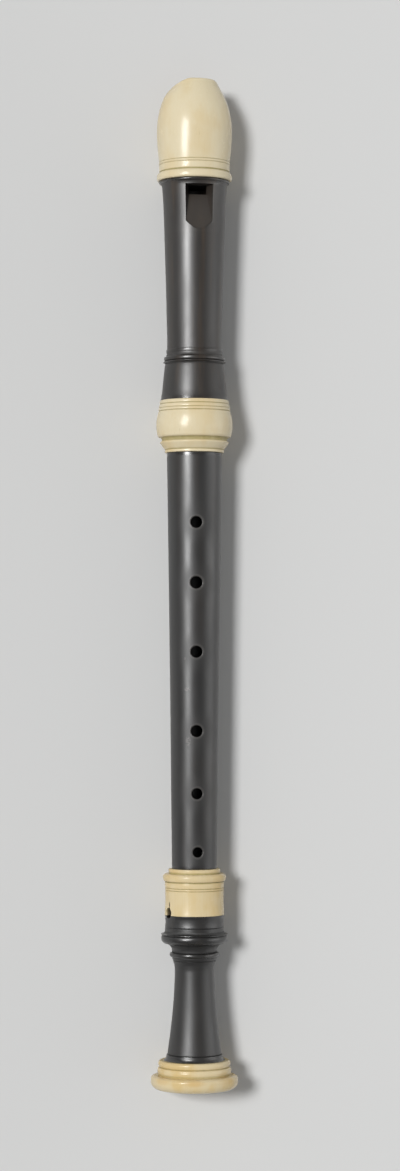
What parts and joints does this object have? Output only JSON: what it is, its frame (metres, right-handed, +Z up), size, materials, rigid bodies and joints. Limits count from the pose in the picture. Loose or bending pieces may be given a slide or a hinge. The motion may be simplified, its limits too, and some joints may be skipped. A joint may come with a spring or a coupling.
{
  "type": "alto recorder",
  "caption": "Baroque-style alto recorder of dark turned wood with ivory beak and mounts, cedar block, window, finger holes and a foot that turns on its lapped tenon.",
  "frame": {"origin": "centre of the recorder's bounding box in plan, at the surface it lies on", "axes": "+Y along the bore towards the beak, +Z up through the finger holes and the window, +X to the right seen from above with the beak away from the viewer"},
  "size_m": [0.044, 0.505, 0.044],
  "materials": {
    "ebony": "oiled and polished, almost black with a brown tinge",
    "ivory": "polished cream ivory colour, yellower in the grooves",
    "cedar": "bare end-grain cedar",
    "thread": "waxed thread"
  },
  "bodies": {
    "middle": {"middle_body": "ebony", "upper_tenon_lapping": "thread", "lower_tenon_lapping": "thread"},
    "head": {"head_body": "ebony", "head_socket_ring": "ivory", "beak_cap": "ivory"},
    "block": {"block": "cedar"},
    "foot": {"foot_body": "ebony", "foot_socket_ring": "ivory", "foot_end_ring": "ivory"}
  },
  "joints": [
    {"name": "head_pull", "type": "slide", "parent": "middle", "child": "head", "axis": [0, 1, 0], "range_m": [0, 0.04]},
    {"name": "foot_turn", "type": "hinge", "parent": "middle", "child": "foot", "pos_m": [0, -0.142, 0.02199], "axis": [0, 1, 0], "continuous": true},
    {"name": "block_slide", "type": "slide", "parent": "head", "child": "block", "axis": [0, 1, 0], "range_m": [0, 0.058]}
  ]
}
